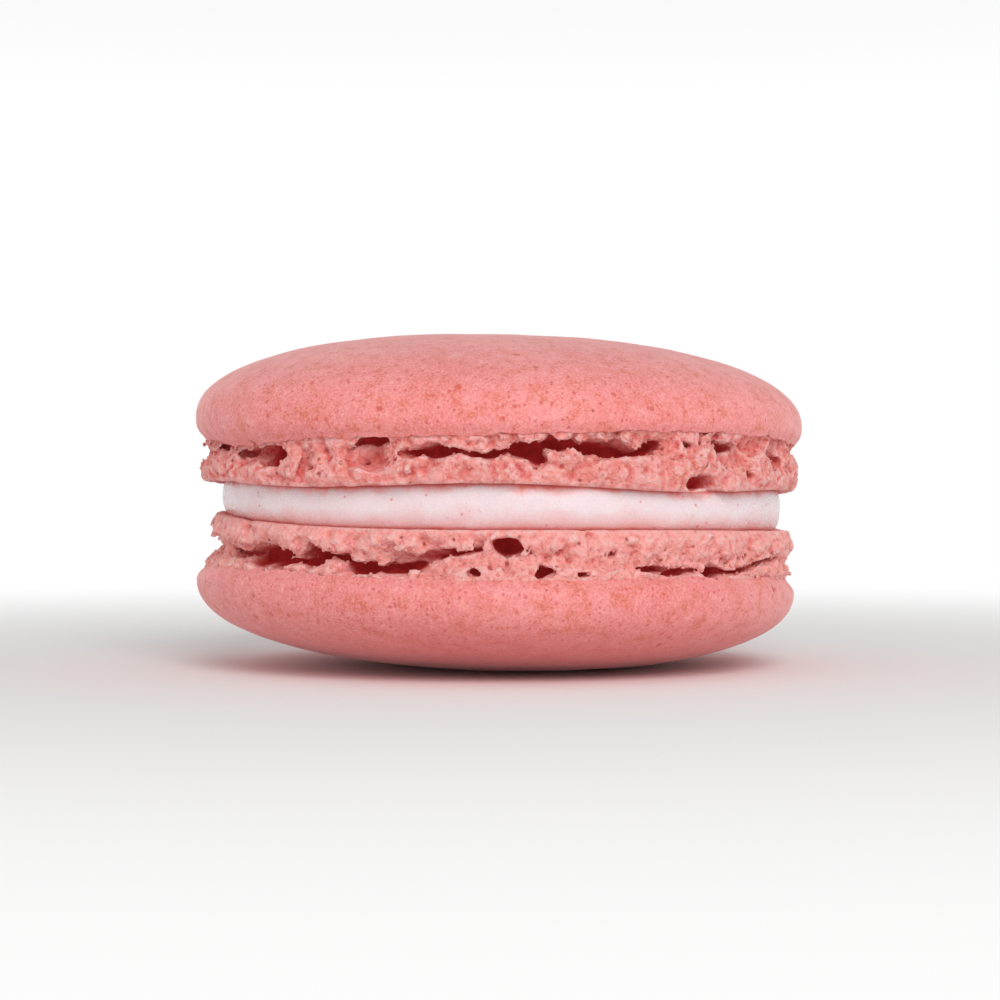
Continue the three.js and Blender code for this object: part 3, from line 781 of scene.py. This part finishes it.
def loose_crumbs_tree():
    """Small broken crumbs that cling to the torn foot."""
    tree = new_tree("Loose crumbs", CRUMBS)
    n = partial(add, tree)
    given = n("NodeGroupInput").outputs
    depth = n("GeometryNodeInputNamedAttribute", "depth", data_type="FLOAT")
    height = n("ShaderNodeSeparateXYZ", n("GeometryNodeInputPosition")).outputs[2]
    torn = n("FunctionNodeCompare", height, given["Lowest"], operation="GREATER_THAN")
    outside = n("FunctionNodeCompare", depth, given["Deepest"], operation="LESS_THAN")
    outside = n("FunctionNodeBooleanMath", outside, torn)
    scatter = n("GeometryNodeDistributePointsOnFaces", given["Geometry"], outside,
                {"Distance Min": given["Spacing"], "Density Max": given["Density"], "Seed": 5},
                distribute_method="POISSON")
    crumb = n("GeometryNodeMeshIcoSphere", 1.0, 1)
    uneven = n("ShaderNodeTexNoise", n("GeometryNodeInputPosition"), LOOSE_ROUGHNESS, 0.0).outputs["Color"]
    uneven = n("ShaderNodeVectorMath", uneven, (0.5,) * 3, operation="SUBTRACT")
    crumb = n("GeometryNodeSetPosition", crumb, {"Offset": uneven})
    turn = n("FunctionNodeRandomValue", (0.0,) * 3, (math.tau,) * 3, data_type="FLOAT_VECTOR")
    size = n("FunctionNodeRandomValue", {"Min": given["Smallest"], "Max": given["Largest"]},
             data_type="FLOAT")
    crumbs = n("GeometryNodeInstanceOnPoints", scatter, {"Instance": crumb, "Rotation": turn, "Scale": size})
    for name, value in (("hollow", LOOSE_HOLLOW), ("depth", 0.0)):
        crumbs = n("GeometryNodeStoreNamedAttribute", crumbs, None, name, value, domain="INSTANCE")
    crumbs = n("GeometryNodeSetShadeSmooth", n("GeometryNodeRealizeInstances", crumbs))
    n("NodeGroupOutput", n("GeometryNodeSetMaterial", crumbs, None, given["Material"]))
    return tree


# ---------- smooth surfaces ----------
def closed_mesh(rings):
    """A closed mesh from rings of points, each with as many as the one before, or half or twice as many."""
    points = [rings[0].mean(axis=0)[None], *rings, rings[-1].mean(axis=0)[None]]
    starts = np.cumsum([0] + [len(part) for part in points])
    last_pole = starts[-2]
    faces = []
    for k in range(1, len(rings)):
        a, b = len(rings[k - 1]), len(rings[k])
        i = np.arange(min(a, b))
        above, below = starts[k], starts[k + 1]
        if a == b:
            j = (i + 1) % a
            faces += np.stack([above + i, below + i, below + j, above + j], -1).tolist()
        elif a == 2 * b:
            low, mid, far = 2 * i, 2 * i + 1, (2 * i + 2) % a
            j = (i + 1) % b
            faces += np.stack([above + low, below + i, above + mid], -1).tolist()
            faces += np.stack([above + mid, below + j, above + far], -1).tolist()
            faces += np.stack([above + mid, below + i, below + j], -1).tolist()
        else:
            low, mid, far = 2 * i, 2 * i + 1, (2 * i + 2) % b
            j = (i + 1) % a
            faces += np.stack([above + i, below + low, below + mid], -1).tolist()
            faces += np.stack([above + i, below + mid, above + j], -1).tolist()
            faces += np.stack([above + j, below + mid, below + far], -1).tolist()
    first, last = len(rings[0]), len(rings[-1])
    faces += [(0, 1 + i, 1 + (i + 1) % first) for i in range(first)]
    faces += [(last_pole, starts[-3] + (i + 1) % last, starts[-3] + i) for i in range(last)]
    mesh = bpy.data.meshes.new("closed")
    mesh.from_pydata(np.concatenate(points).tolist(), [], faces)
    mesh.polygons.foreach_set("use_smooth", [True] * len(mesh.polygons))
    return mesh


SKIN_THICKNESS = 0.45
LIP_ROUNDING = 0.13
LIP_TURNS = (0, 25, 50, 75, 105, 140)  # in degrees, from the outside round under the lip
RAGGED_EDGE = [(19, 0.06, 0), (31, 0.06, 70), (43, 0.055, 50), (67, 0.05, 10), (97, 0.045, 80),
               (139, 0.035, 20), (211, 0.025, 45)]
CROWN_ARC = 22  # from the middle of the crown down to the equator
SIDE_ARC = 1.4  # from there down to the lip
FEWEST_SIDE_ROWS = 4
# Rings of the crown up to these shares of it have a quarter, and half, of the points.
QUARTERED_TO = 0.22
HALVED_TO = 0.46
# The inside rises from the lip, and then follows every seventh ring of the crown, from near the equator up.
INSIDE_RISE = 1.2
INSIDE_FROM = 0.8
INSIDE_EVERY = 7


def round_points(radius, step):
    """How many points go round a ring, in eights, so that they can be halved."""
    return 8 * round(2 * math.pi * radius / step / 8)


def skin_lip_at(shell, azimuth):
    """Height of the lowest part of the skin's ragged lip."""
    return skin_edge_at(shell, azimuth) - shell["overhang"] + shell["ragged"] * waves(RAGGED_EDGE, azimuth)


def skin_mesh(shell):
    """The smooth skin: outside from the crown down to its edge, a rounded lip, and the inside back up."""
    full = round_points(shell["dome_radius"], SKIN_STEP)
    crown_rows = int(CROWN_ARC / SKIN_STEP)
    side_rows = max(FEWEST_SIDE_ROWS, int(SIDE_ARC / SKIN_STEP))
    profile = []
    for i in range(crown_rows):
        turn = math.radians(90 * (i + 0.5) / crown_rows)
        up = math.cos(turn) ** (2 / shell["roundness"])
        halvings = (i < crown_rows * QUARTERED_TO) + (i < crown_rows * HALVED_TO)
        profile.append((up, 0, full >> halvings))
    profile += [(0, i / side_rows, full) for i in range(side_rows)]
    rings = []
    for up, down, columns in profile:
        azimuth = np.linspace(0, 2 * math.pi, columns, endpoint=False)
        side = shell["equator"] - skin_lip_at(shell, azimuth) - LIP_ROUNDING
        height = shell["equator"] + up * (shell["crown"] - shell["equator"]) - down * side
        rings.append((dome_radius_at(shell, azimuth, height), height, azimuth))
    lip = skin_lip_at(shell, azimuth)
    lip_radius = dome_radius_at(shell, azimuth, lip + LIP_ROUNDING)
    for turn in np.radians(LIP_TURNS):
        radius = lip_radius - LIP_ROUNDING * (1 - math.cos(turn))
        rings.append((radius, lip + LIP_ROUNDING * (1 - math.sin(turn)), azimuth))
    rings.append((lip_radius - SKIN_THICKNESS, lip + INSIDE_RISE, azimuth))
    for radius, height, azimuth in rings[int(INSIDE_FROM * crown_rows):0:-INSIDE_EVERY]:
        rings.append((radius - min(SKIN_THICKNESS, radius.min() / 2), height - SKIN_THICKNESS, azimuth))
    return closed_mesh([
        np.stack([shell["dome_shift"] + radius * np.sin(azimuth), -radius * np.cos(azimuth), height], -1)
        for radius, height, azimuth in rings])


def rim_height(shell, azimuth, x):
    """Height of a shell's underside at a place on its rim."""
    lean = x * math.tan(math.radians(shell["tilt"]))
    return shell["underside"] - lean + shell["crown_side"] * waves(shell["underside_waves"], azimuth)


CREAM_EDGE = 3.0  # about how tall the cream's edge is
CREAM_FLAT_RINGS = ((12, 2), (6, 1), (2, 0))  # how far in from the edge, and how often points are halved


def cream_mesh():
    """The band of cream, from the middle of its top down its rounded edge to the middle of its bottom."""
    full = round_points(CREAM_RADIUS, CREAM_STEP)
    rows = int(CREAM_EDGE / CREAM_STEP)
    profile = [(1, drawn, full >> halvings) for drawn, halvings in CREAM_FLAT_RINGS]
    profile += [((1 + math.cos(math.pi * i / rows)) / 2, 0, full) for i in range(rows + 1)]
    profile += [(0, drawn, full >> halvings) for drawn, halvings in reversed(CREAM_FLAT_RINGS)]
    rings, levels = [], []
    for level, drawn, columns in profile:
        azimuth = np.linspace(0, 2 * math.pi, columns, endpoint=False)
        bulge = math.sqrt(max(0, 1 - (2 * level - 1) ** 2))
        draw_in = CREAM_DRAW_IN["top" if level > 0.5 else "bottom"]
        radius = CREAM_RADIUS + waves(CREAM_WAVES, azimuth) - draw_in * (1 - bulge) - drawn
        x = radius * np.sin(azimuth)
        bottom = rim_height(LOWER, azimuth, x) - CREAM_SINKS_IN
        height = bottom + (rim_height(UPPER, azimuth, x) + CREAM_SINKS_IN - bottom) * level
        rings.append(np.stack([x, -radius * np.cos(azimuth), height], -1))
        levels += [level] * columns
    mesh = closed_mesh(rings)
    mesh.attributes.new("level", "FLOAT", "POINT").data.foreach_set("value", [1, *levels, 0])
    return mesh


# Broad swells, fine ripples, and pits, of which a share is there.
SKIN_UNEVENNESS = {
    "Swell size": 5, "Swell": 0.09, "Ripple size": 1.3, "Ripple": 0.02,
    "Pit spacing": 2.1, "Pit radius": 0.28, "Pit depth": 0.25, "Pit share": 0.15}
CREAM_UNEVENNESS = {
    "Swell size": 3, "Swell": 0.16, "Ripple size": 0.8, "Ripple": 0.02,
    "Pit spacing": 0.75, "Pit radius": 0.17, "Pit depth": 0.1, "Pit share": 0.5, "Seed": 7}
SMALLEST_PIT = 0.45  # as a share of the largest


def unevenness_tree():
    """Gentle swells and ripples over a smooth surface, and round pits where bubbles burst."""
    tree = new_tree("Unevenness", CREAM_UNEVENNESS)
    n = partial(add, tree)
    given = n("NodeGroupInput").outputs
    place = n("ShaderNodeVectorMath", n("GeometryNodeInputPosition"), given["Seed"])
    offset = n("ShaderNodeValue")
    for kind in ("Swell", "Ripple"):
        scale = n("ShaderNodeMath", 1.0, given[kind + " size"], operation="DIVIDE")
        noise = n("ShaderNodeTexNoise", place, scale, 2.0)
        wave = n("ShaderNodeMath", noise, 2.0, -1.0, operation="MULTIPLY_ADD")
        offset = n("ShaderNodeMath", wave, given[kind], offset, operation="MULTIPLY_ADD")
    scale = n("ShaderNodeMath", 1.0, given["Pit spacing"], operation="DIVIDE")
    bubble = n("ShaderNodeTexVoronoi", place, scale, 0.0)
    chance = n("ShaderNodeSeparateXYZ", bubble.outputs["Color"]).outputs
    present = n("ShaderNodeMath", chance[0], given["Pit share"], operation="LESS_THAN")
    radius = n("ShaderNodeMath", n("ShaderNodeMapRange", chance[1], 0.0, 1.0, SMALLEST_PIT, 1.0),
               given["Pit radius"], operation="MULTIPLY")
    away = n("ShaderNodeMath", bubble, given["Pit spacing"], operation="MULTIPLY")
    away = n("ShaderNodeMath", away, radius, operation="DIVIDE")
    bowl = n("ShaderNodeMath", n("ShaderNodeMath", away, away, operation="MULTIPLY"), -1.0, 1.0,
             operation="MULTIPLY_ADD", use_clamp=True)
    pit = n("ShaderNodeMath", bowl, present, operation="MULTIPLY")
    sunk = n("ShaderNodeMath", pit, given["Pit depth"], operation="MULTIPLY")
    offset = n("ShaderNodeMath", sunk, -1.0, offset, operation="MULTIPLY_ADD")
    marked = n("GeometryNodeStoreNamedAttribute", given["Geometry"], None, "pit", pit)
    outwards = n("ShaderNodeVectorMath", n("GeometryNodeInputNormal"), {"Scale": offset}, operation="SCALE")
    uneven = n("GeometryNodeSetPosition", marked, {"Offset": outwards})
    n("NodeGroupOutput", n("GeometryNodeSetMaterial", uneven, None, given["Material"]))
    return tree


# ---------- the pieces ----------
def to_place(shell):
    """From the shell's own millimetres, crown up, to its place in the frame."""
    tilt = Matrix.Rotation(math.radians(shell["tilt"]), 4, "Y")
    over = Matrix.Diagonal((1, 1, shell["crown_side"], 1))
    return Matrix.Scale(MM, 4) @ Matrix.Translation((0, 0, shell["underside"])) @ tilt @ over


def settle(name, mesh, matrix, node):
    mesh.transform(matrix)
    if matrix.determinant() < 0:
        mesh.flip_normals()
    points = points_of(mesh)
    points[:, 2] = np.maximum(points[:, 2], 0)
    mesh.vertices.foreach_set("co", points.ravel())
    mesh.name = name
    piece = bpy.data.objects.new(name, mesh)
    bpy.context.scene.collection.objects.link(piece)
    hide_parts(node)
    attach(piece, "root")


skin_finish = meringue_skin()
crumb_finish = meringue_crumb()
foot_tree = crumb_tree()
crumbs_tree = loose_crumbs_tree()
uneven_tree = unevenness_tree()
for shell in (LOWER, UPPER):
    name = shell["name"]
    place = to_place(shell)
    foot = grow(gap_points(shell), foot_tree, crumb_finish, foot_sizes(shell))
    fit_to_skin(shell, foot)
    crumbs = grow(foot, crumbs_tree, crumb_finish, CRUMBS)
    skin = grow(skin_mesh(shell), uneven_tree, skin_finish, {**SKIN_UNEVENNESS, "Seed": shell["seed"]})
    settle(name + "_foot", foot, place, name)
    settle(name + "_crumbs", crumbs, place, name)
    settle(name + "_skin", skin, place, name)
cream = grow(cream_mesh(), uneven_tree, whipped_cream(), CREAM_UNEVENNESS)
settle("cream_layer", cream, Matrix.Scale(MM, 4), "filling")

# ---------- the table, the light and the camera, in metres ----------
TABLE_REACH = 3
TABLE_FADES = (0.03, 0.15)
HORIZON = (0.15, 0.5, 1.0, 0.5)  # a bright band up to 0.15 of the way up, and a ceiling half as bright
LIGHT_PLACE = (0.1, -0.45, 0.3)
LIGHT_AIM = (0, 0, 0.012)
LIGHT_SIZE = 0.3
LIGHT_POWER = 1.33
CAMERA_PLACE = (0, -0.19, 0.0139)
CAMERA_AIM = (0, 0, 0.0123)
CAMERA_LENS = 91.2
CAMERA_CLIP = 0.005

floor_mesh = bpy.data.meshes.new("table")
corners = [(x * TABLE_REACH, y * TABLE_REACH, 0) for x, y in ((-1, -1), (1, -1), (1, 1), (-1, 1))]
floor_mesh.from_pydata(corners, [], [(0, 1, 2, 3)])
floor_mesh.materials.append(pale_table(TABLE_FADES))
floor = bpy.data.objects.new("table", floor_mesh)
bpy.context.scene.collection.objects.link(floor)

world = bpy.data.worlds.new("studio")
world.use_nodes = True
world.node_tree.nodes.clear()
w = partial(add, world.node_tree)
upward = w("ShaderNodeSeparateXYZ", w("ShaderNodeTexCoord").outputs["Generated"]).outputs[2]
brightness = w("ShaderNodeMapRange", upward, *HORIZON)
w("ShaderNodeOutputWorld", w("ShaderNodeBackground", linear("#ffffff"), brightness))
bpy.context.scene.world = world


def stand(name, data, place, aim):
    """Puts a light or a camera in the scene, turned towards its aim, and returns it."""
    obj = bpy.data.objects.new(name, data)
    obj.location = place
    obj.rotation_euler = (Vector(aim) - Vector(place)).to_track_quat("-Z", "Y").to_euler()
    bpy.context.scene.collection.objects.link(obj)
    return obj


light = bpy.data.lights.new("front_light", "AREA")
light.shape = "DISK"
light.size = LIGHT_SIZE
light.energy = LIGHT_POWER
stand("front_light", light, LIGHT_PLACE, LIGHT_AIM)

camera = bpy.data.cameras.new("camera")
camera.lens = CAMERA_LENS
camera.clip_start = CAMERA_CLIP
bpy.context.scene.camera = stand("camera", camera, CAMERA_PLACE, CAMERA_AIM)
bpy.context.scene.view_settings.view_transform = "Standard"
